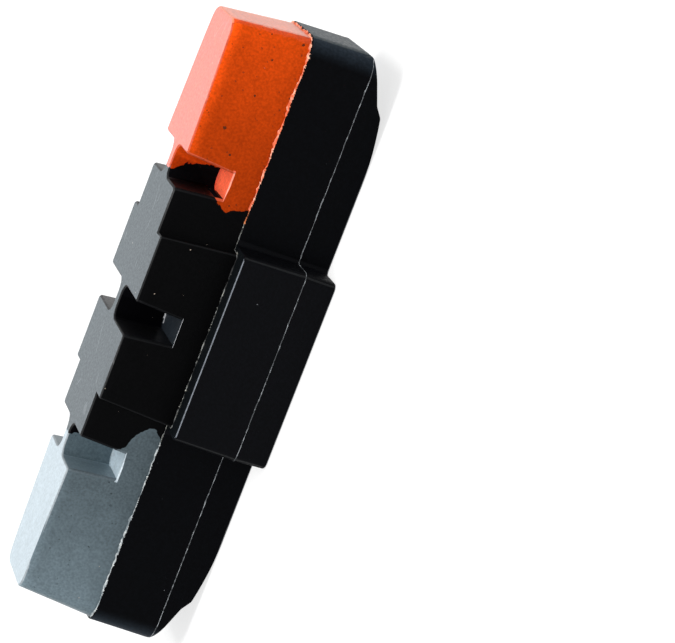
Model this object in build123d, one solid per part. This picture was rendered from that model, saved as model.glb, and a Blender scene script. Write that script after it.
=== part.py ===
from build123d import *
import os
from math import radians, tan

# Rim brake pad with a snap-in back, lying on its back with the friction face up.
# The origin is the middle of the socket on the back face, +X runs along the pad
# towards the orange end, +Z points at the rim. All sizes are in millimetres.

# Carrier: two slim arms and a wider centre block, drafted both ways from the parting line
pad_length = 50.8
carrier_height = 7.8
parting_height = 2.6
arm_width = 9.9
arm_corner_radius = 2.0
wing_length = 16.1
wing_width = 16.7
wing_corner_radius = 0.7
wing_root_radius = 0.3
mould_draft = 2.0
back_edge_radius = 0.2

# Back of each arm, from its middle outwards: a slow crown, a steep step, a ramp and a rolled end
crown_run = 6.2
crown_drop = 0.65
step_run = 0.8
step_drop = 0.6
step_edge_radius = 0.6
step_foot_radius = 0.9
ramp_run = 3.6
ramp_angle = 22.0
end_roll_radius = 0.4
end_roll_angle = 70.0
end_roll_inset = 0.2

# Snap socket in the middle of the back
socket_diameter = 8.9
socket_depth = 0.8
stud_room_depth = 4.0

# Spring steel clip: a flat rim held in the socket wall, then a bead and four lips round the stud
clip_thickness = 0.3
clip_rim_hold = 0.5
clip_rim_clearance = 0.05
clip_bead_clearance = 0.3
clip_hole_diameter = 3.5
clip_lip_run = 0.9
clip_lip_drop = 0.5
clip_crest_run = 0.6
clip_bead_run = 0.35
clip_bead_drop = 0.35
clip_crest_land = 0.3
clip_lips = 4
clip_lip_corner_radius = 0.35
clip_slot_width = 0.45
clip_slot_run = 1.1

# Stepped moulding hole in each arm
end_hole_inset = 6.65
end_hole_diameter = 4.0
end_hole_depth = 2.0
end_pilot_diameter = 2.8
end_pilot_depth = 3.0

# Friction compound: slim end blocks and a wider centre block on the carrier's front face
compound_thickness = 6.3
compound_side_ledge = 0.1
compound_end_ledge = 0.2
friction_side_inset = 0.08
friction_end_inset = 0.65
friction_end_taper = 1.0
friction_corner_radius = 1.2
friction_edge_break = 0.12
centre_side_ledge = 2.0
centre_end_ledge = 1.0
centre_draft = 1.0
centre_corner_radius = 0.35

# Cross slots, cut in from both sides and leaving a thin web in the middle
slot_pitch = 12.0
slot_floor_width = 2.15
slot_floor_rise = 2.25
slot_wall_draft = 4.5
slot_end_flat = 0.15
slot_mouth_break = 0.2
web_width = 1.2

# Lap joints between the compounds, as distances from a slot's centre towards the pad's middle
orange_lap_foot = 1.2
orange_lap_belly = 1.85
orange_lap_heel = 1.45
orange_lap_web = -0.45
orange_lap_top = 0.7
grey_lap_foot = 2.9
grey_lap_belly = 3.7
grey_lap_heel = 1.4
grey_lap_web = 1.0
grey_lap_top = 0.3
lap_heel_rise = 0.45
lap_bend_radius = 0.8

# How far a cutter runs past the face that it opens
overcut = 2.0

# Sizes that follow from the ones above
half_length = pad_length / 2
pad_thickness = carrier_height + compound_thickness
front_rise = carrier_height - parting_height
front_pull = 2 * front_rise * tan(radians(mould_draft))
base_length = pad_length - front_pull - 2 * compound_end_ledge
base_width = arm_width - front_pull - 2 * compound_side_ledge
base_corner_radius = arm_corner_radius - compound_end_ledge
friction_length = base_length - 2 * friction_end_inset
friction_width = base_width - 2 * friction_side_inset
friction_end_width = friction_width - 2 * friction_end_taper
centre_length = wing_length - front_pull - 2 * centre_end_ledge
centre_width = wing_width - front_pull - 2 * centre_side_ledge
slot_floor = carrier_height + slot_floor_rise
slot_depth = pad_thickness - slot_floor
slot_end_radius = (slot_floor_width - slot_end_flat) / 2
slot_places = (-slot_pitch, 0, slot_pitch)
clip_rim_radius = socket_diameter / 2 + clip_rim_hold
clip_crest = clip_hole_diameter / 2 + clip_lip_run
clip_valley = clip_crest + clip_crest_run
clip_flat = clip_valley + clip_bead_run
clip_seat = socket_depth + clip_thickness


def side_prism(section):
    """Carries a section drawn in X and Z right across the pad."""
    return extrude(Plane.XZ * section, amount=wing_width, both=True)


def carrier_plan():
    """Outline of the carrier at its parting line."""
    arms = RectangleRounded(pad_length, arm_width, arm_corner_radius)
    wings = RectangleRounded(wing_length, wing_width, wing_corner_radius)
    plan = arms + wings
    root = Vector(wing_length / 2, arm_width / 2)
    roots = [v for v in plan.vertices() if (Vector(abs(v.X), abs(v.Y)) - root).length < wing_root_radius]
    return fillet(roots, wing_root_radius)


def arm_end_relief():
    """What the crown, the step, the ramp and the rolled end take off the back of the +X arm."""
    step_foot = (half_length - ramp_run, crown_drop + step_drop)
    step_edge = (step_foot[0] - step_run, crown_drop)
    crown_start = (step_edge[0] - crown_run, 0)
    ramp_length = ramp_run - end_roll_inset
    roll = (step_foot[0] + ramp_length, step_foot[1] + ramp_length * tan(radians(ramp_angle)))
    way_out = (roll[0] + overcut, roll[1] + overcut * tan(radians(end_roll_angle)))
    with BuildSketch() as relief:
        with BuildLine():
            TangentArc(crown_start, step_edge, tangent=(1, 0))
            FilletPolyline(step_edge, step_foot, roll, way_out, radius=[step_foot_radius, end_roll_radius])
            Polyline(way_out, (way_out[0], -overcut), (crown_start[0], -overcut), crown_start)
        make_face()
        fillet(relief.vertices().sort_by_distance(step_edge)[0], step_edge_radius)
    return side_prism(relief.sketch)


def back_bore(radius, depth, x=0.0):
    """A round hole sunk from the back to a depth above the back face."""
    drill = Cylinder(radius, depth + overcut, align=(Align.CENTER, Align.CENTER, Align.MAX))
    return Pos(x, 0, depth) * drill


def carrier():
    """The moulded carrier with its ramps, snap socket and moulding holes."""
    plan = Pos(0, 0, parting_height) * carrier_plan()
    body = extrude(plan, amount=front_rise, taper=mould_draft)
    body += extrude(plan, amount=parting_height, dir=(0, 0, -1), taper=mould_draft)
    body = fillet(body.faces().sort_by(Axis.Z)[0].outer_wire().edges(), back_edge_radius)
    relief = arm_end_relief()
    body = body - relief - mirror(relief, Plane.YZ)
    rim_groove = Cylinder(clip_rim_radius + clip_rim_clearance, clip_thickness)
    body -= back_bore(socket_diameter / 2, socket_depth)
    body -= Pos(0, 0, (socket_depth + clip_seat) / 2) * rim_groove
    body -= back_bore(clip_flat + clip_bead_clearance, clip_seat + stud_room_depth)
    for x in (end_hole_inset - half_length, half_length - end_hole_inset):
        body -= back_bore(end_hole_diameter / 2, end_hole_depth, x)
        body -= back_bore(end_pilot_diameter / 2, end_hole_depth + end_pilot_depth, x)
    return body


def clip_cut_out():
    """The clip's middle hole with a slot between each pair of lips."""
    hole = clip_hole_diameter / 2
    slot_end = hole + clip_slot_run - clip_slot_width / 2
    slot = Pos(slot_end / 2, 0) * Rectangle(slot_end, clip_slot_width)
    slot += Pos(slot_end, 0) * Circle(clip_slot_width / 2)
    cut = Circle(hole)
    for turn in range(clip_lips):
        cut += Rot(0, 0, (turn + 0.5) * 360 / clip_lips) * slot
    lip_middle = hole + clip_slot_run / 2
    corners = [v for v in cut.vertices() if Vector(v.X, v.Y).length < lip_middle]
    return fillet(corners, clip_lip_corner_radius)


def snap_clip():
    """Stamped spring washer whose lips grip the stud, turned from the section of its pressed sheet."""
    lip_end = clip_hole_diameter / 2 - clip_thickness
    lip_end_drop = (clip_crest - lip_end) * clip_lip_drop / clip_lip_run
    outer_face = [
        (clip_rim_radius, 0),
        (clip_flat, 0),
        (clip_valley, clip_bead_drop),
        (clip_crest + clip_crest_land / 2, 0),
        (clip_crest - clip_crest_land / 2, 0),
        (lip_end, lip_end_drop),
    ]
    inner_face = [(radius, drop + clip_thickness) for radius, drop in reversed(outer_face)]
    section = make_face(Polyline(*outer_face, *inner_face, close=True))
    washer = revolve(Plane.XZ * section, Axis.Z)
    washer -= extrude(clip_cut_out(), amount=overcut, both=True)
    return Pos(0, 0, socket_depth) * washer


def end_tapered_outline(length, width, end_width, corner_radius):
    """Outline of the slim blocks: parallel between the outer slots, then narrowing to the ends."""
    knee = slot_pitch
    end = length / 2
    quarter = [(end, end_width / 2), (knee, width / 2)]
    upper = quarter + [(-x, y) for x, y in reversed(quarter)]
    outline = make_face(Polyline(*upper, *[(-x, -y) for x, y in upper], close=True))
    corners = [v for v in outline.vertices() if abs(v.X) > (end + knee) / 2]
    return fillet(corners, corner_radius)


def cross_slot():
    """Cutter for the +Y side of a cross slot: drafted walls, a round inner end and a flat floor."""
    top = slot_depth + overcut
    floor_half = slot_floor_width / 2
    top_half = floor_half + top * tan(radians(slot_wall_draft))
    outline = [(-floor_half, 0), (floor_half, 0), (top_half, top), (-top_half, top)]
    section = make_face(Polyline(*outline, close=True))
    cutter = Pos(0, web_width / 2, 0) * extrude(Plane.XZ * section, amount=-wing_width)
    inner_end = cutter.faces().sort_by(Axis.Y)[0]
    cutter = fillet(inner_end.edges().sort_by(Axis.Z)[1:3], slot_end_radius)
    return Pos(0, 0, slot_floor) * cutter


def slot_mouths(body):
    """The upright edges where the cross slots open through the moulding's sides."""
    upright = [e for e in body.edges() if e.bounding_box().size.Z > slot_depth / 2]
    by_slot = [e for e in upright if min(abs(e.center().X - x) for x in slot_places) < slot_floor_width]
    return [e for e in by_slot if e.center().Z > slot_floor and abs(e.center().Y) > base_width / 4]


def compound_moulding():
    """All three compounds as one moulding with its cross slots and broken friction edges."""
    base = end_tapered_outline(base_length, base_width, base_width, base_corner_radius)
    face = end_tapered_outline(friction_length, friction_width, friction_end_width, friction_corner_radius)
    body = loft([Pos(0, 0, carrier_height) * base, Pos(0, 0, pad_thickness) * face], ruled=True)
    centre = Pos(0, 0, carrier_height) * RectangleRounded(centre_length, centre_width, centre_corner_radius)
    body += extrude(centre, amount=compound_thickness, taper=centre_draft)
    near_slot = cross_slot()
    far_slot = mirror(near_slot, Plane.XZ)
    for x in slot_places:
        body = body - Pos(x, 0, 0) * near_slot - Pos(x, 0, 0) * far_slot
    body = chamfer(slot_mouths(body), slot_mouth_break)
    friction_face = body.faces().sort_by(Axis.Z)[-1]
    return chamfer(friction_face.outer_wire().edges(), friction_edge_break)


def outside_of_lap(foot, belly, heel, web, top):
    """Everything beyond a lap joint at the +X slot, from its line's distances to the slot's centre."""
    lap_foot = (slot_pitch - foot, carrier_height)
    lap_belly = (slot_pitch - belly, carrier_height + slot_floor_rise / 2)
    lap_heel = (slot_pitch - heel, slot_floor + lap_heel_rise)
    lap_web = (slot_pitch - web, slot_floor + slot_depth / 2)
    lap_top = (slot_pitch - top, pad_thickness)
    low = carrier_height - overcut
    high = pad_thickness + overcut
    with BuildSketch() as outside:
        with BuildLine():
            FilletPolyline(lap_foot, lap_belly, lap_heel, lap_web, lap_top, radius=lap_bend_radius)
            Polyline(lap_top, (lap_top[0], high), (pad_length, high))
            Polyline((pad_length, high), (pad_length, low), (lap_foot[0], low), lap_foot)
        make_face()
    return side_prism(outside.sketch)


moulding = compound_moulding()
orange_side = outside_of_lap(
    orange_lap_foot, orange_lap_belly, orange_lap_heel, orange_lap_web, orange_lap_top
)
grey_side = mirror(
    outside_of_lap(grey_lap_foot, grey_lap_belly, grey_lap_heel, grey_lap_web, grey_lap_top), Plane.YZ
)
pieces = {
    "carrier": carrier(),
    "snap_clip": snap_clip(),
    "orange_compound": moulding & orange_side,
    "black_compound": moulding - orange_side - grey_side,
    "grey_compound": moulding & grey_side,
}
os.makedirs("parts", exist_ok=True)
for node, shape in pieces.items():
    export_step(shape, f"parts/{node}.step")
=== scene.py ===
"""Rim brake pad lying on its back on a white floor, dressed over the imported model."""
import logging
import math
import random
from collections.abc import Callable
from dataclasses import dataclass
from enum import Enum
from typing import ClassVar

import bmesh
import bpy
from mathutils import Euler, Matrix, Vector, noise
from mathutils.bvhtree import BVHTree


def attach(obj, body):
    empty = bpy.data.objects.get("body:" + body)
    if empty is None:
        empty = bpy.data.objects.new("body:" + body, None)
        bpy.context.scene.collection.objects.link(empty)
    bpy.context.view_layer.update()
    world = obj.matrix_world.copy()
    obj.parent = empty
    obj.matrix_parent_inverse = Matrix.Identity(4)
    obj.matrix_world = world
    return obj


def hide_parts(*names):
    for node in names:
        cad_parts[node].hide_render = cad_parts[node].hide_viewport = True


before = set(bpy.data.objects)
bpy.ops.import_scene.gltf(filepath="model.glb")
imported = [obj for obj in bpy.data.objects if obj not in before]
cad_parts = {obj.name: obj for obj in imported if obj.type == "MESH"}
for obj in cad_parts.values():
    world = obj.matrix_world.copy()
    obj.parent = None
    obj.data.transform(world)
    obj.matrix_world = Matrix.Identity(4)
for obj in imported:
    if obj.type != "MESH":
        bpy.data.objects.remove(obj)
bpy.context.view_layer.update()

log = logging.getLogger("brake_pad")
MM = 0.001
Pair = tuple[float, float]
Triple = tuple[float, float, float]
Colour = Triple
Socket = bpy.types.NodeSocket
Edge = bmesh.types.BMEdge
Facet = bmesh.types.BMFace
WHITE: Colour = (1.0, 1.0, 1.0)


class Compound(Enum):
    """The three friction compounds."""

    ORANGE = "orange"
    BLACK = "black"
    GREY = "grey"


class Face(Enum):
    """The kinds of rubber surface, which differ in gloss and in painted light and shade."""

    MOULDED = "moulded"
    GROUND = "ground"
    FLOOR = "slot_floor"
    RIM = "slot_rim"
    ROOT = "slot_root"
    WALL = "slot_wall"
    FLANK = "slot_flank"
    BREAK = "broken_edge"
    TURN = "end_corner"
    END = "end"


class Plastic(Enum):
    """The kinds of surface on the carrier."""

    SIDE = "side"
    ARM = "arm"
    END = "end"
    BACK = "back"
    EDGE = "edge"
    LEDGE = "ledge"
    CORNER = "corner"


@dataclass(frozen=True)
class PadSizes:
    """Heights, places and joint lines that the pieces share, in millimetres.

    A point of a joint line is a height and a place along the pad.
    """

    parting: float = 2.6
    carrier_top: float = 7.8
    slot_floor: float = 10.05
    slot_pitch: float = 12.0
    slot_reach: float = 1.6
    friction: float = 14.1
    block_ends: Pair = (6.4, 7.0)
    block_lean_top: float = 0.12
    block_lean_foot: float = 0.55
    orange_lap: tuple[Pair, ...] = (
        (7.8, 10.7), (8.9, 10.36), (9.65, 10.12), (10.2, 10.38),
        (10.6, 10.7), (11.4, 11.8), (12.4, 12.4), (14.1, 11.3),
    )
    orange_web_lap: tuple[Pair, ...] = (
        (7.8, 12.6), (11.0, 12.6), (11.5, 12.47), (12.1, 12.34),
        (12.55, 12.2), (13.1, 11.9), (13.5, 11.55), (14.1, 11.3),
    )
    grey_lap: tuple[Pair, ...] = (
        (7.8, -9.05), (8.3, -8.5), (8.9, -8.3), (9.5, -8.75),
        (10.0, -9.4), (10.6, -10.6), (12.0, -10.95), (14.1, -11.65),
    )


SIZES = PadSizes()


@dataclass(frozen=True)
class Look:
    """A compound's colour in linear light, its gloss and its painted lit upper band on one kind of face."""

    colour: Colour
    roughness: float
    specular: float
    painted_top_depth: float = 0.8
    painted_top_light: float = 1.25


@dataclass(frozen=True)
class Mix:
    """What shows in a compound: its shares of specks, their dark colour, and its painted shade by the slots.
    """

    dark_share: float
    pale_share: float
    dark: Colour
    painted_slot_shade: float


@dataclass(frozen=True)
class Specks:
    """One kind of speck: spacing and largest radius in millimetres, and how strongly it covers."""

    spacing: float
    size: float
    strength: float = 1.0


class Nodes:
    """Short calls for the node tree of one material, whose patterns are laid out in millimetres."""

    smallest_speck = 0.35
    speck_raggedness = 2.0

    def __init__(self, name: str) -> None:
        """Starts a material with a principled shader.

        Args:
            name: The material's name.
        """
        self.material = bpy.data.materials.new(name)
        self.material.use_nodes = True
        self.tree = self.material.node_tree
        self.shader = self.tree.nodes["Principled BSDF"]
        coords = self.add("ShaderNodeTexCoord").outputs["Object"]
        scale = self.add("ShaderNodeVectorMath", operation="SCALE")
        self.plug(scale.inputs[0], coords)
        scale.inputs["Scale"].default_value = 1 / MM
        self.place = scale.outputs[0]
        parts = self.add("ShaderNodeSeparateXYZ")
        self.plug(parts.inputs[0], self.place)
        self.along, self.across, self.height = parts.outputs

    def add(self, kind: str, **settings: object) -> bpy.types.Node:
        """Adds a node.

        Args:
            kind: The node's type.
            settings: The node's properties.

        Returns:
            The new node.
        """
        node = self.tree.nodes.new(kind)
        for key, value in settings.items():
            setattr(node, key, value)
        return node

    def plug(self, socket: Socket, value: object) -> None:
        """Links a socket to another one, or gives it a constant.

        Args:
            socket: The input to fill.
            value: An output socket, a number or a colour.
        """
        if isinstance(value, bpy.types.NodeSocket):
            self.tree.links.new(value, socket)
        elif isinstance(value, tuple) and socket.type == "RGBA":
            socket.default_value = (*value, 1.0)
        else:
            socket.default_value = value

    def dress(self, inputs: dict[str, object]) -> bpy.types.Material:
        """Fills the shader's inputs.

        Args:
            inputs: The name of each input with a socket, a number or a colour.

        Returns:
            The finished material.
        """
        for name, value in inputs.items():
            self.plug(self.shader.inputs[name], value)
        return self.material

    def sum(self, operation: str, first: object, second: object = 0.0, clamp: bool = False) -> Socket:
        """One step of arithmetic.

        Args:
            operation: The Math node's operation.
            first: A socket or number.
            second: A socket or number.
            clamp: Whether the result stays between 0 and 1.

        Returns:
            The result's socket.
        """
        node = self.add("ShaderNodeMath", operation=operation, use_clamp=clamp)
        self.plug(node.inputs[0], first)
        self.plug(node.inputs[1], second)
        return node.outputs[0]

    def ramp(self, value: Socket, low: float, high: float, bottom: float = 0.0, top: float = 1.0) -> Socket:
        """Eases a value from one level to another.

        Args:
            value: What is read.
            low: Where the ease starts.
            high: Where it ends.
            bottom: The level before it.
            top: The level after it.

        Returns:
            The eased value's socket.
        """
        node = self.add("ShaderNodeMapRange", interpolation_type="SMOOTHSTEP")
        for socket, entry in zip(node.inputs, (value, low, high, bottom, top)):
            self.plug(socket, entry)
        return node.outputs[0]

    def noise(self, size: float, detail: float = 2.0, stretch: Vector | None = None) -> Socket:
        """Cloudy variation in the solid.

        Args:
            size: The size of a patch in millimetres.
            detail: How many finer layers it has.
            stretch: How much finer it runs along each axis.

        Returns:
            A value around 0.5.
        """
        place = self.place
        if stretch is not None:
            mapping = self.add("ShaderNodeMapping")
            self.plug(mapping.inputs["Vector"], place)
            mapping.inputs["Scale"].default_value = stretch
            place = mapping.outputs[0]
        node = self.add("ShaderNodeTexNoise")
        self.plug(node.inputs["Vector"], place)
        node.inputs["Scale"].default_value = 1 / size
        node.inputs["Detail"].default_value = detail
        return node.outputs["Fac"]

    def vary(self, pattern: Socket, middle: float, swing: float, band: float = 0.2) -> Socket:
        """Lets a value swing about its middle with a noise, fully where that is a band away from 0.5."""
        return self.ramp(pattern, 0.5 - band, 0.5 + band, middle - swing, middle + swing)

    def specks(self, kind: Specks, share: float) -> Socket:
        """Scattered specks of uneven outline.

        Args:
            kind: Their spacing and size.
            share: The share of places that hold one.

        Returns:
            A mask that is 1 on a speck.
        """
        cells = self.add("ShaderNodeTexVoronoi")
        self.plug(cells.inputs["Vector"], self.place)
        cells.inputs["Scale"].default_value = 1 / kind.spacing
        pick = self.add("ShaderNodeSeparateColor")
        self.plug(pick.inputs[0], cells.outputs["Color"])
        chosen = self.sum("LESS_THAN", pick.outputs[0], share)
        radius = self.ramp(pick.outputs[1], 0.0, 1.0, self.smallest_speck, 1.0)
        radius = self.sum("MULTIPLY", radius, kind.size / kind.spacing)
        ragged = self.sum("MULTIPLY", self.noise(kind.size, 1.0), self.speck_raggedness)
        inside = self.sum("LESS_THAN", cells.outputs["Distance"], self.sum("MULTIPLY", radius, ragged))
        return self.sum("MULTIPLY", chosen, inside)

    def sprinkle(self, colour: Socket, kind: Specks, share: float, tint: Colour) -> Socket:
        """Scatters specks of a tint over a colour, in a share of the places that could hold one."""
        cover = self.sum("MULTIPLY", self.specks(kind, share), kind.strength)
        return self.blend(cover, colour, tint)

    def blend(self, share: Socket, first: object, second: object) -> Socket:
        """Mixes two colours.

        Args:
            share: The second colour's share.
            first: A colour or its socket.
            second: A colour or its socket.

        Returns:
            The mixed colour's socket.
        """
        node = self.add("ShaderNodeMix", data_type="RGBA")
        self.plug(node.inputs["Factor"], share)
        self.plug(node.inputs["A"], first)
        self.plug(node.inputs["B"], second)
        return node.outputs["Result"]

    def bump(self, height: Socket, depth: float, under: Socket | None = None) -> Socket:
        """Turns a height into a surface normal.

        Args:
            height: The height pattern.
            depth: Its full depth in millimetres.
            under: The normal that it lies on.

        Returns:
            The new normal's socket.
        """
        node = self.add("ShaderNodeBump")
        node.inputs["Distance"].default_value = depth * MM
        self.plug(node.inputs["Height"], height)
        if under is not None:
            self.plug(node.inputs["Normal"], under)
        return node.outputs[0]

    def lap(self, line: tuple[Pair, ...]) -> Socket:
        """How far a point lies along the pad from a joint line that wanders with height.

        Args:
            line: Heights and places of the line in millimetres.

        Returns:
            The distance in millimetres, positive towards +X.
        """
        low = min(x for _, x in line)
        span = max(x for _, x in line) - low
        bottom, top = line[0][0], line[-1][0]
        share = self.sum("DIVIDE", self.sum("SUBTRACT", self.height, bottom), top - bottom, clamp=True)
        curve = self.add("ShaderNodeFloatCurve")
        points = curve.mapping.curves[0].points
        stops = [((z - bottom) / (top - bottom), (x - low) / span) for z, x in line]
        for point, stop in zip((points[0], points[1]), (stops[0], stops[-1])):
            point.location = stop
        for stop in stops[1:-1]:
            points.new(*stop)
        curve.mapping.update()
        self.plug(curve.inputs["Value"], share)
        line_place = self.sum("ADD", self.sum("MULTIPLY", curve.outputs[0], span), low)
        return self.sum("SUBTRACT", self.along, line_place)


@dataclass(frozen=True)
class RubberFinish:
    """The rubber on one kind of face, with the colours that meet there along the ragged joints and that
    face's painted light and shade.

    Sizes and depths are in millimetres. A relief is the depth of its ripples and of its pores.
    """

    name: str
    face: Face
    colours: dict[Compound, Colour]
    look: Look
    mix: Mix
    joint_wave: float = 0.45
    joint_reach: float = 0.32
    joint_blur: float = 0.03
    coarse_specks: Specks = Specks(0.8, 0.17, 0.85)
    fine_specks: Specks = Specks(0.45, 0.09, 0.50)
    pale_specks: Specks = Specks(0.6, 0.05, 0.60)
    pale: Colour = (0.62, 0.52, 0.42)
    gloss_patch: float = 0.22
    gloss_swing: float = 0.05
    ripple_size: float = 0.5
    pore_size: float = 0.10
    moulded_relief: Pair = (0.012, 0.012)
    smooth_relief: Pair = (0.006, 0.004)
    grain_size: float = 0.20
    grain_swing: float = 0.20
    cloud_size: float = 1.8
    cloud_level: float = 0.99
    cloud_swing: float = 0.05
    outer_end: float = 25.0
    painted_tip_band: Pair = (22.5, 25.2)
    painted_tip_light: float = 1.22
    foot_height: float = 1.8
    painted_foot_shade: float = 0.85
    painted_top_margin: float = 0.1
    scratch_spacing: float = 2.2
    scratch_width: float = 0.012
    scratch_patch: float = 1.6
    scratch_band: Pair = (0.56, 0.62)
    scratch_depth: float = 0.007
    scratch_share: float = 0.08
    scratched: Colour = (0.55, 0.57, 0.58)

    def material(self) -> bpy.types.Material:
        """Makes the material.

        Returns:
            The finished material.
        """
        nodes = Nodes(self.name)
        smooth = self.face in (Face.GROUND, Face.END, Face.FLANK)
        ripple_depth, pore_depth = self.smooth_relief if smooth else self.moulded_relief
        relief = nodes.bump(nodes.noise(self.ripple_size), ripple_depth)
        if self.face is Face.GROUND:
            relief = nodes.bump(self.scratches(nodes), self.scratch_depth, relief)
        patches = nodes.noise(self.gloss_patch, 3.0)
        return nodes.dress({
            "Base Color": self.colour(nodes),
            "Specular IOR Level": self.look.specular,
            "Roughness": nodes.vary(patches, self.look.roughness, self.gloss_swing, band=0.25),
            "Normal": nodes.bump(nodes.noise(self.pore_size), pore_depth, relief),
        })

    def colour(self, nodes: Nodes) -> Socket:
        """The compounds' colours with their ragged joints, grain and specks, scaled by painted light and
        shade.

        Args:
            nodes: The material's nodes.

        Returns:
            The colour's socket.
        """
        wander = nodes.sum("SUBTRACT", nodes.noise(self.joint_wave, 5.0), 0.5)
        wander = nodes.sum("MULTIPLY", wander, 2 * self.joint_reach)
        by_web = self.face in (Face.WALL, Face.FLANK)
        orange_line = SIZES.orange_web_lap if by_web else SIZES.orange_lap
        orange_side = nodes.sum("ADD", nodes.lap(orange_line), wander)
        grey_side = nodes.sum("SUBTRACT", wander, nodes.lap(SIZES.grey_lap))
        colour = self.colours[Compound.BLACK]
        for side, compound in ((orange_side, Compound.ORANGE), (grey_side, Compound.GREY)):
            share = nodes.ramp(side, -self.joint_blur, self.joint_blur)
            colour = nodes.blend(share, colour, self.colours[compound])
        shade = nodes.add("ShaderNodeVectorMath", operation="SCALE")
        nodes.plug(shade.inputs[0], colour)
        nodes.plug(shade.inputs["Scale"], self.level(nodes))
        colour = shade.outputs[0]
        if self.face is Face.GROUND:
            hairs = nodes.sum("MULTIPLY", self.scratches(nodes), self.scratch_share)
            colour = nodes.blend(hairs, colour, self.scratched)
        if self.mix.dark_share and self.face not in (Face.GROUND, Face.END):
            for kind in (self.coarse_specks, self.fine_specks):
                colour = nodes.sprinkle(colour, kind, self.mix.dark_share, self.mix.dark)
        return nodes.sprinkle(colour, self.pale_specks, self.mix.pale_share, self.pale)

    def level(self, nodes: Nodes) -> Socket:
        """How light the rubber is from place to place: grain and clouds, with painted shade towards the slots
        and the foot and painted light towards the ends and along the top.

        Args:
            nodes: The material's nodes.

        Returns:
            A factor around 1.
        """
        grain = nodes.vary(nodes.noise(self.grain_size, 3.0), 1.0, self.grain_swing, band=0.3)
        cloud = nodes.vary(nodes.noise(self.cloud_size, 4.0), self.cloud_level, self.cloud_swing)
        level = nodes.sum("MULTIPLY", grain, cloud)
        if self.face not in (Face.MOULDED, Face.BREAK, Face.TURN, Face.END):
            return level
        reach = nodes.sum("ABSOLUTE", nodes.along)
        foot, top = SIZES.carrier_top, SIZES.friction
        crest_band = (top - self.look.painted_top_depth, top - self.painted_top_margin)
        # painted shade towards the slots and the foot, painted light towards the ends and along the top band
        for share in (
            nodes.ramp(reach, SIZES.slot_pitch, self.outer_end, self.mix.painted_slot_shade, 1.0),
            nodes.ramp(reach, *self.painted_tip_band, 1.0, self.painted_tip_light),
            nodes.ramp(nodes.height, foot, foot + self.foot_height, self.painted_foot_shade, 1.0),
            nodes.ramp(nodes.height, *crest_band, 1.0, self.look.painted_top_light),
        ):
            level = nodes.sum("MULTIPLY", level, share)
        return level

    def scratches(self, nodes: Nodes) -> Socket:
        """Sparse hairlines on a ground face, drawn out along the pad.

        Args:
            nodes: The material's nodes.

        Returns:
            A mask that is 1 on a hairline.
        """
        streaks = nodes.noise(self.scratch_spacing, 0.0, Vector((0.3, 1.0, 1.0)))
        offset = nodes.sum("ABSOLUTE", nodes.sum("SUBTRACT", streaks, 0.5))
        hairs = nodes.ramp(offset, 0.0, self.scratch_width, 1.0, 0.0)
        patches = nodes.ramp(nodes.noise(self.scratch_patch, 0.0), *self.scratch_band)
        return nodes.sum("MULTIPLY", hairs, patches)


@dataclass(frozen=True)
class FlashFinish:
    """Thin material squeezed out of a joint, pale in patches and stained past a place on the pad."""

    name: str
    colour: Colour
    pale: Colour
    pale_share: float
    stain: Colour | None = None
    stain_start: float = 10.2
    stain_wave: float = 0.3
    stain_blur: float = 0.1
    arm_start: float | None = None
    arm_blur: float = 0.4
    arm_share: float = 0.8
    patch_size: float = 0.45
    patch_limit: float = 1.08
    patch_blur: float = 0.1
    roughness: float = 0.5
    specular: float = 0.3
    pore_size: float = 0.1
    pore_depth: float = 0.02

    def material(self) -> bpy.types.Material:
        """Makes the material.

        Returns:
            The finished material.
        """
        nodes = Nodes(self.name)
        limit = self.patch_limit - self.pale_share
        patches = nodes.noise(self.patch_size, 4.0)
        share = nodes.ramp(patches, limit - self.patch_blur, limit + self.patch_blur)
        if self.arm_start:
            reach = nodes.sum("ABSOLUTE", nodes.along)
            on_arm = nodes.ramp(reach, self.arm_start, self.arm_start + self.arm_blur)
            share = nodes.sum("MAXIMUM", share, nodes.sum("MULTIPLY", on_arm, self.arm_share))
        colour = nodes.blend(share, self.colour, self.pale)
        if self.stain:
            wander = nodes.sum("ADD", nodes.along, nodes.noise(self.stain_wave))
            start = self.stain_start
            stained = nodes.ramp(wander, start - self.stain_blur, start + self.stain_blur)
            colour = nodes.blend(stained, colour, self.stain)
        return nodes.dress({
            "Base Color": colour,
            "Roughness": self.roughness,
            "Specular IOR Level": self.specular,
            "Normal": nodes.bump(nodes.noise(self.pore_size), self.pore_depth),
        })


@dataclass(frozen=True)
class PlasticFinish:
    """The carrier's black plastic: matt sides, an eroded back, painted sheen on paler end corners and painted
    highlights on bright broken edges.
    """

    name: str
    colour: Colour
    roughness: float
    specular: float
    grain: float = 0.25
    grain_depth: float = 0.012
    contrast: float = 1.5
    crest_band: Pair = (0.35, 0.7)
    painted_tip_colour: Colour | None = None
    painted_tip_band: Pair = (23.6, 25.6)
    dust: Specks = Specks(0.9, 0.05)
    dust_share: float = 0.08
    dust_colour: Colour = (0.12, 0.13, 0.14)
    gloss_swing: float = 0.1

    def material(self) -> bpy.types.Material:
        """Makes the material.

        Returns:
            The finished material.
        """
        nodes = Nodes(self.name)
        grit = nodes.noise(self.grain)
        crests = nodes.ramp(grit, *self.crest_band)
        colour = self.grained(nodes, crests, self.colour)
        # painted sheen: paler towards the ends
        if self.painted_tip_colour:
            by_end = nodes.ramp(nodes.sum("ABSOLUTE", nodes.along), *self.painted_tip_band)
            colour = nodes.blend(by_end, colour, self.grained(nodes, crests, self.painted_tip_colour))
        return nodes.dress({
            "Base Color": nodes.sprinkle(colour, self.dust, self.dust_share, self.dust_colour),
            "Specular IOR Level": self.specular,
            "Roughness": nodes.vary(grit, self.roughness, self.gloss_swing),
            "Normal": nodes.bump(grit, self.grain_depth),
        })

    def grained(self, nodes: Nodes, crests: Socket, colour: Colour) -> Socket:
        """A colour that is paler on the crests of the grain."""
        return nodes.blend(crests, colour, tuple(self.contrast * part for part in colour))


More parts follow.
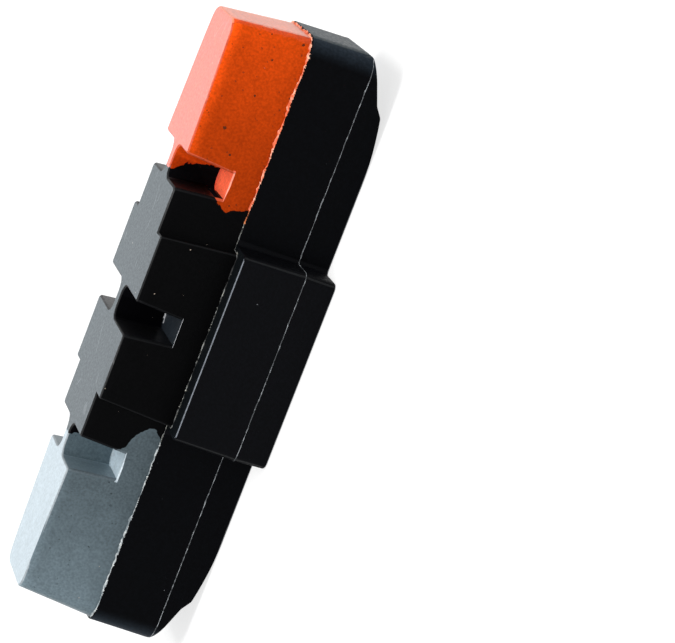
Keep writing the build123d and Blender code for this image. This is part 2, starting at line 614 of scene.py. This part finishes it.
@dataclass(frozen=True)
class SteelFinish:
    """The spring clip's blackened steel, with a painted highlight along its bead, and bare where its opening
    was sheared.
    """

    name: str
    blackened: Colour
    painted_bead_highlight: Colour
    bare: Colour
    roughness: float
    gloss_swing: float = 0.08
    wear: float = 1.5
    wear_patch: float = 0.25
    hole_radius: float = 1.75
    slot_end: float = 2.625
    slot_half_width: float = 0.225
    lip_corner: float = 0.35
    bead_radius: float = 2.68
    painted_highlight_band: Pair = (0.08, 0.24)
    bare_band: Pair = (0.18, 0.24)
    bare_blur: float = 0.15
    pore_size: float = 0.12
    pore_depth: float = 0.01

    def material(self) -> bpy.types.Material:
        """Makes the material.

        Returns:
            The finished material.
        """
        nodes = Nodes(self.name)
        scratches = nodes.noise(self.wear_patch, 3.0)
        worn = tuple(self.wear * part for part in self.blackened)
        colour = nodes.blend(scratches, self.blackened, worn)
        radius = self.radius(nodes)
        off_bead = nodes.sum("ABSOLUTE", nodes.sum("SUBTRACT", radius, self.bead_radius))
        # painted highlight along the bead
        colour = nodes.blend(nodes.ramp(off_bead, *self.painted_highlight_band, 1.0, 0.0), colour, self.painted_bead_highlight)
        by_opening = nodes.ramp(self.from_opening(nodes), *self.bare_band, 1.0, 0.0)
        inside = nodes.ramp(radius, self.slot_end, self.slot_end + self.bare_blur, 1.0, 0.0)
        return nodes.dress({
            "Base Color": nodes.blend(nodes.sum("MULTIPLY", by_opening, inside), colour, self.bare),
            "Metallic": 1.0,
            "Roughness": nodes.vary(scratches, self.roughness, self.gloss_swing),
            "Normal": nodes.bump(nodes.noise(self.pore_size), self.pore_depth),
        })

    @staticmethod
    def radius(nodes: Nodes) -> Socket:
        """A point's distance from the socket's axis."""
        squares = [nodes.sum("MULTIPLY", part, part) for part in (nodes.along, nodes.across)]
        return nodes.sum("SQRT", nodes.sum("ADD", *squares))

    def from_opening(self, nodes: Nodes) -> Socket:
        """How far a point lies from the stamped opening, a hole with four diagonal slots.

        Args:
            nodes: The material's nodes.

        Returns:
            The distance in millimetres.
        """
        along, across = (nodes.sum("ABSOLUTE", part) for part in (nodes.along, nodes.across))
        down_slot = nodes.sum("MULTIPLY", nodes.sum("ADD", along, across), math.sqrt(0.5))
        off_slot = nodes.sum("MULTIPLY", nodes.sum("SUBTRACT", along, across), math.sqrt(0.5))
        past_slot = nodes.sum("MAXIMUM", nodes.sum("SUBTRACT", down_slot, self.slot_end), 0.0)
        squares = [nodes.sum("MULTIPLY", part, part) for part in (off_slot, past_slot)]
        from_slot = nodes.sum("SUBTRACT", nodes.sum("SQRT", nodes.sum("ADD", *squares)), self.slot_half_width)
        nearest = nodes.add("ShaderNodeMath", operation="SMOOTH_MIN")
        from_hole = nodes.sum("SUBTRACT", self.radius(nodes), self.hole_radius)
        for socket, value in zip(nearest.inputs, (from_hole, from_slot, self.lip_corner)):
            nodes.plug(socket, value)
        return nearest.outputs[0]


def lies_at(edge: Edge, height: float) -> bool:
    """Whether both ends of an edge lie at a height, to a thousandth of a millimetre."""
    return all(abs(vert.co.z - height) < 0.001 * MM for vert in edge.verts)


def on_joint(edge: Edge, slant: Pair = (0.12, 0.98), across: float = 0.02) -> bool:
    """Whether an edge borders the slanted joint between two compounds, which runs straight across the pad."""
    return any(abs(f.normal.y) < across and slant[0] < abs(f.normal.z) < slant[1] for f in edge.link_faces)


class Piece:
    """A finished piece that starts from a merged copy of a solid's mesh."""

    merge_distance = 1e-4 * MM
    flat_angle = math.radians(0.4)
    sharp_angle = math.radians(32)
    leaning_node = "black_compound"

    def __init__(self, node: str) -> None:
        """Copies a solid's mesh and joins its loose triangles.

        Args:
            node: The solid's name.
        """
        self.mesh = bmesh.new()
        self.mesh.from_mesh(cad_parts[node].data)
        bmesh.ops.remove_doubles(self.mesh, verts=self.mesh.verts, dist=self.merge_distance)
        bmesh.ops.dissolve_limit(
            self.mesh, angle_limit=self.flat_angle, verts=self.mesh.verts, edges=self.mesh.edges
        )
        for face in self.mesh.faces:
            face.material_index = 0
        if node == self.leaning_node:
            self.lean_block()

    def lean_block(self) -> None:
        """Leans the centre block's ends out towards their foot, which stands on the carrier's ledge."""
        start, end = SIZES.block_ends
        height = (SIZES.friction - SIZES.carrier_top) * MM
        for vert in self.mesh.verts:
            if start * MM < abs(vert.co.x) < end * MM:
                share = (SIZES.friction * MM - vert.co.z) / height
                lean = SIZES.block_lean_top + share * (SIZES.block_lean_foot - SIZES.block_lean_top)
                vert.co.x += math.copysign(lean * MM, vert.co.x)

    def soften(
        self, width: float, chosen: Callable[[Edge], bool], segments: int = 2
    ) -> list[Facet]:
        """Rounds the sharp edges that a test picks.

        Args:
            width: The rounding's width in millimetres.
            chosen: The test.
            segments: How many strips the rounding has.

        Returns:
            The rounding's faces.
        """
        self.mesh.normal_update()
        sharp = [e for e in self.mesh.edges if e.is_manifold and e.calc_face_angle() > self.sharp_angle]
        made = bmesh.ops.bevel(
            self.mesh, geom=[edge for edge in sharp if chosen(edge)], offset=width * MM, offset_type="OFFSET",
            segments=segments, profile=0.5, affect="EDGES", clamp_overlap=False, material=-1,
        )
        self.mesh.normal_update()
        return made["faces"]

    def finish(self, name: str, slot: str, materials: list[bpy.types.Material], replaced: str | None) -> None:
        """Turns the mesh into an object of the scene.

        Args:
            name: The piece's name.
            slot: The name of a material slot; not used.
            materials: The materials in the order of the faces' indices.
            replaced: The solid that it stands for, if any.
        """
        bmesh.ops.dissolve_degenerate(self.mesh, dist=self.merge_distance, edges=self.mesh.edges)
        data = bpy.data.meshes.new(name)
        self.mesh.to_mesh(data)
        self.mesh.free()
        for material in materials:
            data.materials.append(material)
        for polygon in data.polygons:
            polygon.use_smooth = True
        data.set_sharp_from_angle(angle=self.sharp_angle)
        piece = bpy.data.objects.new(name, data)
        bpy.context.scene.collection.objects.link(piece)
        normals = piece.modifiers.new("flat faces", "WEIGHTED_NORMAL")
        normals.keep_sharp = True
        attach(piece, "root")
        if replaced:
            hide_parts(replaced)
        log.info("%s: %d faces", name, len(data.polygons))


@dataclass(frozen=True)
class Camera:
    """The photograph's viewpoint: its place in millimetres and the directions of its axes."""

    place: Triple = (45.43, -220.56, 68.31)
    right: Triple = (0.3604, -0.2274, -0.9047)
    down: Triple = (-0.9159, -0.2702, -0.2969)
    ahead: Triple = (-0.1769, 0.9356, -0.3057)
    lens: float = 154.89
    sensor: float = 36.0
    near: float = 0.01

    def build(self) -> None:
        """Adds the camera and makes it the scene's own."""
        data = bpy.data.cameras.new("view")
        data.lens = self.lens
        data.sensor_width = self.sensor
        data.sensor_fit = "HORIZONTAL"
        data.clip_start = self.near
        camera = bpy.data.objects.new("view", data)
        up, back = ([-part for part in axis] for axis in (self.down, self.ahead))
        axes = Matrix((self.right, up, back)).transposed()
        camera.matrix_world = Matrix.Translation(Vector(self.place) * MM) @ axes.to_4x4()
        bpy.context.scene.collection.objects.link(camera)
        bpy.context.scene.camera = camera


@dataclass(frozen=True)
class Softbox:
    """A soft lamp that faces the pad, with its place and size in metres."""

    name: str
    place: Triple
    size: float
    power: float
    tint: Colour = WHITE

    def build(self) -> None:
        """Adds the lamp."""
        data = bpy.data.lights.new(self.name, "AREA")
        data.shape = "DISK"
        data.size = self.size
        data.energy = self.power
        data.color = self.tint
        lamp = bpy.data.objects.new(self.name, data)
        lamp.location = self.place
        lamp.rotation_euler = (-Vector(self.place)).to_track_quat("-Z", "Y").to_euler()
        bpy.context.scene.collection.objects.link(lamp)


@dataclass(frozen=True)
class Studio:
    """The white floor, the surrounding light and the lamps."""

    floor_size: float = 3.0
    floor_level: float = 0.75
    seen_level: float = 0.34
    floor_lift: float = 0.72
    surround: float = 0.50
    lamps: tuple[Softbox, ...] = (
        Softbox("overhead", (0.03, -0.03, 0.42), size=0.26, power=1.5),
        Softbox("front", (-0.10, -0.55, 0.25), size=0.34, power=0.75),
        Softbox("far", (-0.10, 0.53, 0.18), size=0.34, power=0.5, tint=(0.74, 0.90, 1.0)),
    )

    def build(self) -> None:
        """Sets up the floor, the world, the lamps and the view transform."""
        bpy.context.scene.view_settings.view_transform = "Standard"
        self.build_floor()
        self.build_world()
        for lamp in self.lamps:
            lamp.build()

    @staticmethod
    def seen(tree: bpy.types.NodeTree) -> Socket:
        """A value that is 1 for rays that show the background itself.

        Args:
            tree: The tree to add it to.

        Returns:
            The value's socket.
        """
        path = tree.nodes.new("ShaderNodeLightPath")
        total = path.outputs["Is Camera Ray"]
        for name in ("Is Glossy Ray", "Is Transmission Ray"):
            node = tree.nodes.new("ShaderNodeMath")
            node.operation = "MAXIMUM"
            tree.links.new(total, node.inputs[0])
            tree.links.new(path.outputs[name], node.inputs[1])
            total = node.outputs[0]
        return total

    def build_floor(self) -> None:
        """Adds a white floor that keeps the pad's shadow."""
        mesh = bmesh.new()
        bmesh.ops.create_grid(mesh, x_segments=1, y_segments=1, size=self.floor_size)
        data = bpy.data.meshes.new("floor")
        mesh.to_mesh(data)
        mesh.free()
        material = bpy.data.materials.new("white_floor")
        material.use_nodes = True
        tree = material.node_tree
        tree.nodes.remove(tree.nodes["Principled BSDF"])
        paper = tree.nodes.new("ShaderNodeBsdfDiffuse")
        lift = tree.nodes.new("ShaderNodeEmission")
        seen = self.seen(tree)
        for low, high, socket in (
            (self.floor_level, self.seen_level, paper.inputs["Color"]),
            (0.0, self.floor_lift, lift.inputs["Strength"]),
        ):
            share = tree.nodes.new("ShaderNodeMapRange")
            share.inputs["To Min"].default_value = low
            share.inputs["To Max"].default_value = high
            tree.links.new(seen, share.inputs["Value"])
            tree.links.new(share.outputs[0], socket)
        both = tree.nodes.new("ShaderNodeAddShader")
        tree.links.new(paper.outputs[0], both.inputs[0])
        tree.links.new(lift.outputs[0], both.inputs[1])
        tree.links.new(both.outputs[0], tree.nodes["Material Output"].inputs["Surface"])
        data.materials.append(material)
        floor = bpy.data.objects.new("floor", data)
        bpy.context.scene.collection.objects.link(floor)

    def build_world(self) -> None:
        """Surrounds the pad with even light, white where it is seen."""
        world = bpy.data.worlds.new("surround")
        bpy.context.scene.world = world
        world.use_nodes = True
        tree = world.node_tree
        level = tree.nodes.new("ShaderNodeMapRange")
        level.inputs["To Min"].default_value = self.surround
        tree.links.new(self.seen(tree), level.inputs["Value"])
        back = tree.nodes["Background"]
        back.inputs["Color"].default_value = (*WHITE, 1.0)
        tree.links.new(level.outputs[0], back.inputs["Strength"])


@dataclass(frozen=True)
class Carrier:
    """The moulded carrier with its eroded back.

    Widths, lengths and reaches are in millimetres. A facing is a part of a face's normal.
    """

    edge_width: float = 0.08
    rim_width: float = 0.10
    wing_half_length: float = 8.05
    wing_half_width: float = 8.35
    corner_reach: float = 1.2
    bright_reach: float = 6.0
    bright_facing: float = 0.2
    back_facing: float = -0.5
    ledge_facing: float = 0.9
    end_facing: float = 0.9
    corner_facing: Pair = (0.55, 0.76)
    upright_facing: float = 0.2
    # One black plastic on every kind of surface: ARM is a little darker by painted shade and paler at its
    # tips by painted sheen; END and BACK are lighter by painted sheen, and BACK's strong grain contrast adds
    # painted glints; EDGE and CORNER are painted highlights.
    finishes: ClassVar[dict[Plastic, PlasticFinish]] = {
        Plastic.SIDE: PlasticFinish("carrier_sides", (0.0020, 0.0022, 0.0030), 0.50, 0.035),
        Plastic.ARM: PlasticFinish(
            "carrier_arms", (0.0015, 0.0017, 0.0023), 0.50, 0.024, painted_tip_colour=(0.019, 0.027, 0.037)
        ),
        Plastic.END: PlasticFinish("carrier_ends", (0.0105, 0.0205, 0.0260), 0.48, 0.19),
        Plastic.BACK: PlasticFinish(
            "carrier_back", (0.022, 0.026, 0.031), 0.42, 0.5, grain=0.14, grain_depth=0.08, contrast=2.6
        ),
        Plastic.EDGE: PlasticFinish("carrier_edges", (0.13, 0.145, 0.17), 0.35, 0.6, grain_depth=0.01),
        Plastic.LEDGE: PlasticFinish(
            "carrier_ledge", (0.0020, 0.0028, 0.0035), 0.50, 0.05, grain=0.20, grain_depth=0.02
        ),
        Plastic.CORNER: PlasticFinish("carrier_corners", (0.0065, 0.0072, 0.0080), 0.45, 0.10),
    }

    def build(self) -> None:
        """Rounds the carrier's edges and dresses it."""
        piece = Piece("carrier")
        top = SIZES.carrier_top * MM
        front = piece.soften(self.edge_width, lambda edge: edge.is_convex and lies_at(edge, top))
        back = piece.soften(self.rim_width, lambda edge: edge.is_convex and lies_at(edge, 0.0))
        self.dress(piece, front, back)

    def dress(self, piece: Piece, front: list[Facet], back: list[Facet]) -> None:
        """Gives the carrier's sides, back, ledges and edges their finishes, lighter or darker by painted
        light and shade.

        Args:
            piece: The carrier.
            front: The faces of its front edges' rounding.
            back: The faces of its back edges' rounding.
        """
        kinds = list(self.finishes)
        for face in piece.mesh.faces:
            face.material_index = kinds.index(self.surface(face))
        # painted highlight: the front rounding along the wings' long edges takes the light EDGE colour
        for face in front:
            if face.is_valid:
                on_wing = abs(face.calc_center_median().y) > self.bright_reach * MM
                painted_highlight = on_wing and abs(face.normal.x) < self.bright_facing
                face.material_index = kinds.index(Plastic.EDGE if painted_highlight else Plastic.SIDE)
        for face in back:
            if face.is_valid:
                face.material_index = kinds.index(Plastic.BACK)
        materials = [finish.material() for finish in self.finishes.values()]
        piece.finish("pad_carrier", "carrier_plastic", materials, "carrier")

    def surface(self, face: Facet) -> Plastic:
        """The kind of surface that a face of the carrier has.

        Args:
            face: The face.

        Returns:
            Its kind.
        """
        if face.normal.z < self.back_facing:
            return Plastic.BACK
        if face.normal.z > self.ledge_facing:
            return Plastic.LEDGE
        middle = face.calc_center_median()
        steep = abs(face.normal.x)
        by_end = abs(abs(middle.x) - self.wing_half_length * MM) < self.corner_reach * MM
        by_side = abs(middle.y) > (self.wing_half_width - self.corner_reach) * MM
        upright = abs(face.normal.z) < self.upright_facing
        slanted = self.corner_facing[0] < steep < self.corner_facing[1]
        if by_end and by_side and slanted and upright:
            return Plastic.CORNER
        if abs(middle.x) < (self.wing_half_length + self.corner_reach) * MM:
            return Plastic.SIDE
        return Plastic.END if steep > self.end_facing else Plastic.ARM


@dataclass(frozen=True)
class SnapClip:
    """The spring clip in the socket."""

    edge_width: float = 0.05
    opening_reach: float = 3.2
    steel: SteelFinish = SteelFinish(
        "spring_steel", blackened=(0.010, 0.0105, 0.0115), painted_bead_highlight=(0.13, 0.135, 0.14),
        bare=(0.62, 0.62, 0.62), roughness=0.36,
    )

    def build(self) -> None:
        """Breaks the edges of the clip's bead and lips and dresses it."""
        piece = Piece("snap_clip")
        piece.soften(self.edge_width, lambda edge: edge.is_convex and self.by_opening(edge))
        piece.finish("pad_snap_clip", "spring_steel", [self.steel.material()], "snap_clip")

    def by_opening(self, edge: Edge) -> bool:
        """Whether an edge lies on the bead or the lips round the opening."""
        return all(vert.co.xy.length < self.opening_reach * MM for vert in edge.verts)


@dataclass(frozen=True)
class Rubber:
    """One compound's block with its ground friction face.

    Widths, places and reaches are in millimetres. A facing is a part of a face's normal.
    """

    name: str
    node: str
    slot: str
    finishes: dict[Face, RubberFinish]
    rim_width: float = 0.12
    web_reach: float = 1.5
    root_facing: float = 0.25
    up_facing: float = 0.5
    ground_depth: float = 0.3
    end_zone: float = 20.0
    bevel_facing: float = 0.5
    turn_facing: float = 0.75
    end_facing: float = 0.95
    break_facing: Pair = (0.4, 0.92)
    break_from: float = 3.0
    block_half_length: float = 7.0
    block_reach: float = 1.0
    side_facing: float = 0.95
    flank_facing: float = 0.9

    def build(self) -> None:
        """Rounds the edges of the slots' floors and dresses the block."""
        piece = Piece(self.node)
        floor = SIZES.slot_floor * MM
        rounded = piece.soften(self.rim_width, lambda edge: lies_at(edge, floor) and self.round_floor(edge))
        self.dress(piece, rounded)

    def dress(self, piece: Piece, rounded: list[Facet]) -> None:
        """Gives the block's faces their finishes, lighter or darker by painted light and shade.

        Args:
            piece: The block.
            rounded: The faces beside its slots' floors.
        """
        kinds = list(self.finishes)
        for face in piece.mesh.faces:
            face.material_index = kinds.index(self.surface(face))
        for face in rounded:
            if face.is_valid:
                face.material_index = kinds.index(self.slot_edge(face))
        materials = [finish.material() for finish in self.finishes.values()]
        piece.finish(self.name, self.slot, materials, self.node)

    def round_floor(self, edge: Edge) -> bool:
        """Whether an edge of a slot's floor is its outer rim or its turn at the web."""
        by_web = all(abs(vert.co.y) < self.web_reach * MM for vert in edge.verts)
        return (edge.is_convex or by_web) and not on_joint(edge)

    def slot_edge(self, face: Facet) -> Face:
        """The kind of surface of a rounding beside a slot's floor, with painted highlights at its rim and at
        the web.

        Args:
            face: The rounding's face.

        Returns:
            Its kind.
        """
        middle = face.calc_center_median() / MM
        if middle.z < SIZES.slot_floor:
            return Face.RIM
        return Face.ROOT if face.normal.x < self.root_facing else Face.FLOOR

    def surface(self, face: Facet) -> Face:
        """The kind of surface that a face of the block has.

        Args:
            face: The face.

        Returns:
            Its kind.
        """
        middle = face.calc_center_median() / MM
        steep = abs(face.normal.x)
        at_end = abs(middle.x) > self.end_zone
        if face.normal.z > self.up_facing and middle.z > SIZES.friction - self.ground_depth:
            return Face.END if at_end and steep > self.bevel_facing else Face.GROUND
        if face.normal.z > self.up_facing:
            return Face.FLOOR
        if at_end and steep > self.turn_facing:
            return Face.END if steep > self.end_facing else Face.TURN
        beside = min(abs(middle.x - place) for place in (-SIZES.slot_pitch, 0, SIZES.slot_pitch))
        in_slot = beside < SIZES.slot_reach and middle.z > SIZES.slot_floor
        by_block = abs(abs(middle.x) - self.block_half_length) < self.block_reach
        slanted = self.break_facing[0] < steep < self.break_facing[1] and abs(middle.y) > self.break_from
        if slanted and (in_slot or by_block):
            return Face.BREAK
        if not in_slot or (abs(face.normal.y) > self.side_facing and abs(middle.y) > self.web_reach):
            return Face.MOULDED
        return Face.FLANK if steep > self.flank_facing else Face.WALL


@dataclass(frozen=True)
class RaggedLip:
    """A thin ragged lip of moulded material that stands out along an edge, with sizes in millimetres."""

    name: str
    node: str
    slot: str
    finish: FlashFinish
    crumbs: FlashFinish | None
    height: float
    rise: float
    reach: float
    least: float = 0.10
    mean: float = 0.45
    swing: float = 0.9
    ripple_share: float = 0.5
    ripple_scale: float = 0.3
    foot_wave: float = 0.9
    lip_wave: float = 0.45
    tip_wave: float = 0.3
    tip_share: float = 0.2
    spacing: float = 0.09
    thickness: float = 0.03
    wall_probe: float = 0.3
    seat_share: float = 0.5
    crumb: float = 0.08
    crumb_spacing: float = 0.3
    crumb_sizes: Pair = (0.3, 1.0)
    crumb_stretch: Pair = (0.6, 1.3)
    crumb_lift: Pair = (0.0, 0.5)

    def build(self) -> None:
        """Draws the edge out into a lip of uneven width, with crumbs along it."""
        piece = Piece(self.node)
        mesh = piece.mesh
        mesh.normal_update()
        walls = BVHTree.FromBMesh(mesh)
        self.keep_edge(mesh)
        foot = mesh.verts[:]
        seat_reach = self.seat_share * self.reach * MM
        seats = [vert.co + self.outward(walls, vert.co) * seat_reach for vert in foot]
        drawn = bmesh.ops.extrude_edge_only(mesh, edges=mesh.edges[:])["geom"]
        for vert in foot:
            vert.co.z += self.rise * MM * self.uneven(vert.co, self.foot_wave)
        for vert in (v for v in drawn if isinstance(v, bmesh.types.BMVert)):
            away = self.outward(walls, vert.co)
            vert.co += away * (self.reach * MM * self.uneven(vert.co, self.lip_wave))
            vert.co.z += self.tip_share * self.rise * MM * self.uneven(vert.co, self.tip_wave)
        bmesh.ops.recalc_face_normals(mesh, faces=mesh.faces)
        mesh.normal_update()
        bmesh.ops.solidify(mesh, geom=mesh.faces[:], thickness=self.thickness * MM)
        if self.crumbs:
            self.scatter(mesh, seats)
        finishes = [finish.material() for finish in (self.finish, self.crumbs) if finish]
        piece.finish(self.name, self.slot, finishes, None)

    def keep_edge(self, mesh: bmesh.types.BMesh) -> None:
        """Strips a mesh down to the edge that the lip follows, cut into short lengths.

        Args:
            mesh: The solid's mesh.
        """
        spare = [edge for edge in mesh.edges if not self.on_edge(edge)]
        bmesh.ops.delete(mesh, geom=mesh.faces[:], context="FACES_ONLY")
        bmesh.ops.delete(mesh, geom=spare, context="EDGES")
        bmesh.ops.delete(mesh, geom=[v for v in mesh.verts if not v.link_edges], context="VERTS")
        for edge in mesh.edges[:]:
            cuts = int(edge.calc_length() / (self.spacing * MM))
            if cuts:
                bmesh.ops.subdivide_edges(mesh, edges=[edge], cuts=cuts)

    def scatter(self, mesh: bmesh.types.BMesh, seats: list[Vector]) -> None:
        """Sets ragged crumbs of flash on the lip.

        Args:
            mesh: The lip's mesh.
            seats: Points along the lip.
        """
        draw = random.Random(self.name)
        for seat in seats:
            if draw.random() > self.spacing / self.crumb_spacing:
                continue
            size = self.crumb * MM * draw.uniform(*self.crumb_sizes)
            shape = Matrix.Diagonal((*(draw.uniform(*self.crumb_stretch) for _ in range(3)), 1.0))
            turn = Euler([draw.uniform(0, math.tau) for _ in range(3)]).to_matrix().to_4x4()
            place = Matrix.Translation(seat + Vector((0, 0, draw.uniform(*self.crumb_lift) * size)))
            made = bmesh.ops.create_icosphere(mesh, subdivisions=1, radius=size, matrix=place @ turn @ shape)
            for face in {face for vert in made["verts"] for face in vert.link_faces}:
                face.material_index = 1

    def on_edge(self, edge: Edge) -> bool:
        """Whether the lip follows an edge of the solid."""
        return lies_at(edge, self.height * MM) and edge.is_manifold and not on_joint(edge)

    def outward(self, walls: BVHTree, place: Vector) -> Vector:
        """The level direction away from the wall next to a point, as a unit vector."""
        normal = walls.find_nearest(place + Vector((0, 0, self.wall_probe * MM)))[1]
        return Vector((normal.x, normal.y, 0)).normalized()

    def uneven(self, place: Vector, size: float) -> float:
        """A share from about 0 to 1 that wanders along the edge.

        Args:
            place: The point.
            size: The length of a wave in millimetres.

        Returns:
            The share.
        """
        ripple = noise.noise(place / (self.ripple_scale * size * MM))
        wave = noise.noise(place / (size * MM)) + self.ripple_share * ripple
        return max(self.least, self.mean + self.swing * wave)


class Pad:
    """The whole pad: its carrier, clip, compounds and the flash along their joints."""

    # Each kind of face repeats the compound's colour with painted light and shade: MOULDED is the base;
    # GROUND, TURN and END are painted sheen; FLOOR is painted light; RIM, ROOT and BREAK are painted
    # highlights; WALL, and FLANK in orange and black, are painted shade.
    looks: dict[Compound, dict[Face, Look]] = {
        Compound.ORANGE: {
            Face.MOULDED: Look((0.622, 0.0605, 0.0032), 0.55, 0.02, painted_top_depth=1.1, painted_top_light=1.65),
            Face.GROUND: Look((0.672, 0.070, 0.008), 0.42, 0.50),
            Face.FLOOR: Look((0.93, 0.135, 0.055), 0.45, 0.5),
            Face.RIM: Look((1.0, 0.24, 0.135), 0.35, 0.8),
            Face.ROOT: Look((0.80, 0.11, 0.045), 0.45, 0.5),
            Face.WALL: Look((0.50, 0.045, 0.0023), 0.55, 0.02),
            Face.FLANK: Look((0.50, 0.045, 0.0023), 0.40, 0.04),
            Face.BREAK: Look((0.85, 0.12, 0.04), 0.45, 0.2),
            Face.TURN: Look((0.66, 0.065, 0.006), 0.48, 0.10),
            Face.END: Look((0.70, 0.15, 0.06), 0.34, 1.0),
        },
        Compound.BLACK: {
            Face.MOULDED: Look((0.0030, 0.0031, 0.0035), 0.55, 0.02),
            Face.GROUND: Look((0.0046, 0.0047, 0.0054), 0.42, 0.19),
            Face.FLOOR: Look((0.009, 0.0130, 0.0175), 0.40, 0.3),
            Face.RIM: Look((0.45, 0.46, 0.49), 0.32, 1.0),
            Face.ROOT: Look((0.46, 0.47, 0.49), 0.30, 0.8),
            Face.WALL: Look((0.0018, 0.0018, 0.0025), 0.60, 0.01),
            Face.FLANK: Look((0.0018, 0.0018, 0.0025), 0.40, 0.19),
            Face.BREAK: Look((0.008, 0.0085, 0.0095), 0.50, 0.06),
            Face.TURN: Look((0.0046, 0.0047, 0.0054), 0.50, 0.1),
            Face.END: Look((0.0046, 0.0047, 0.0054), 0.45, 0.20),
        },
        Compound.GREY: {
            Face.MOULDED: Look((0.140, 0.186, 0.212), 0.55, 0.05),
            Face.GROUND: Look((0.295, 0.343, 0.375), 0.42, 0.9),
            Face.FLOOR: Look((0.42, 0.51, 0.565), 0.40, 0.7),
            Face.RIM: Look((0.52, 0.60, 0.65), 0.35, 0.7),
            Face.ROOT: Look((0.50, 0.59, 0.64), 0.40, 0.7),
            Face.WALL: Look((0.107, 0.150, 0.174), 0.55, 0.03),
            Face.FLANK: Look((0.135, 0.190, 0.222), 0.42, 0.9),
            Face.BREAK: Look((0.185, 0.235, 0.265), 0.55, 0.05),
            Face.TURN: Look((0.160, 0.203, 0.226), 0.50, 0.2),
            Face.END: Look((0.180, 0.228, 0.254), 0.45, 0.6),
        },
    }
    mixes: dict[Compound, Mix] = {
        Compound.ORANGE: Mix(0.34, 0.06, (0.045, 0.022, 0.010), 0.70),
        Compound.BLACK: Mix(0.0, 0.10, (0.0, 0.0, 0.0), 0.70),
        Compound.GREY: Mix(0.16, 0.06, (0.035, 0.045, 0.050), 0.62),
    }
    flash: dict[Compound, FlashFinish] = {
        Compound.ORANGE: FlashFinish("orange_flash", (0.80, 0.13, 0.04), (1.0, 0.42, 0.27), 0.58),
        Compound.BLACK: FlashFinish(
            "black_flash", (0.012, 0.0125, 0.013), (0.26, 0.27, 0.26), 0.55,
            stain=(0.60, 0.16, 0.05), arm_start=7.2,
        ),
        Compound.GREY: FlashFinish("grey_flash", (0.20, 0.24, 0.26), (0.56, 0.59, 0.60), 0.58),
    }
    crumbs: dict[Compound, FlashFinish] = {
        Compound.ORANGE: FlashFinish("orange_crumbs", (0.95, 0.26, 0.12), (1.0, 0.54, 0.38), 0.62),
        Compound.BLACK: FlashFinish(
            "black_crumbs", (0.03, 0.03, 0.03), (0.66, 0.66, 0.58), 0.52, stain=(0.75, 0.26, 0.10)
        ),
        Compound.GREY: FlashFinish("grey_crumbs", (0.38, 0.42, 0.44), (0.72, 0.74, 0.73), 0.60),
    }
    flash_size: dict[Compound, float] = {Compound.ORANGE: 0.22, Compound.BLACK: 0.10, Compound.GREY: 0.22}
    crumb_size: dict[Compound, float] = {Compound.ORANGE: 0.09, Compound.BLACK: 0.08, Compound.GREY: 0.09}
    # painted highlight: the ridge is carrier plastic drawn lighter than the carrier, with paler patches for
    # brighter glints
    ridge: FlashFinish = FlashFinish("parting_ridge", (0.055, 0.060, 0.066), (0.30, 0.32, 0.34), 0.56)

    def build(self) -> None:
        """Builds the pieces in the order in which they are put together."""
        Carrier().build()
        SnapClip().build()
        for compound in Compound:
            self.build_compound(compound)
        RaggedLip(
            "parting_ridge", "carrier", "carrier_plastic", self.ridge, None, SIZES.parting,
            rise=0.07, reach=0.06, least=0.5,
        ).build()

    def build_compound(self, compound: Compound) -> None:
        """Builds one compound's block and the flash round its foot.

        Args:
            compound: Which compound.
        """
        word = compound.value
        finishes = {}
        for face, look in self.looks[compound].items():
            colours = {other: self.looks[other][face].colour for other in Compound}
            finishes[face] = RubberFinish(f"{word}_{face.value}", face, colours, look, self.mixes[compound])
        node, slot = f"{word}_compound", f"compound_{word}"
        Rubber(f"{word}_rubber", node, slot, finishes).build()
        size = self.flash_size[compound]
        RaggedLip(
            f"{word}_flash", node, slot, self.flash[compound], self.crumbs[compound], SIZES.carrier_top,
            rise=size, reach=size, crumb=self.crumb_size[compound],
        ).build()


def main() -> None:
    """Builds the scene piece by piece."""
    logging.basicConfig(level=logging.INFO, format="%(name)s: %(message)s")
    Camera().build()
    Studio().build()
    Pad().build()


if __name__ == "__main__":
    main()
